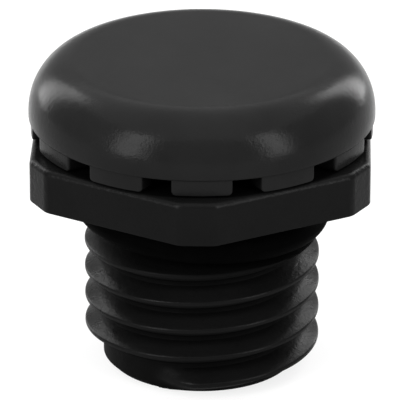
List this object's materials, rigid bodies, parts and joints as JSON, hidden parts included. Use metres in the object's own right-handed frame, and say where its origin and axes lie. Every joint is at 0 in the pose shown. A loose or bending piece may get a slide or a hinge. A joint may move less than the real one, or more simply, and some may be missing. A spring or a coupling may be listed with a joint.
{
  "type": "vent plug",
  "caption": "Screw-in vent plug with a domed castellated snap cap, a hex flange, a seal ring and a hollow threaded stem with a membrane.",
  "frame": {"origin": "middle of the flange's underside, the face that seats on the housing", "axes": "+Z along the stem's axis towards the cap, +X square to one pair of wrench flats, -Y towards one corner of the hexagon"},
  "size_m": [0.0174, 0.0186, 0.0163],
  "materials": {
    "body_plastic": "satin",
    "cap_plastic": "satin",
    "seal_rubber": "matte",
    "membrane_film": "matte"
  },
  "bodies": {
    "root": {"body": "body_plastic", "cap": "cap_plastic", "membrane": "membrane_film", "o_ring": "seal_rubber"}
  },
  "joints": []
}
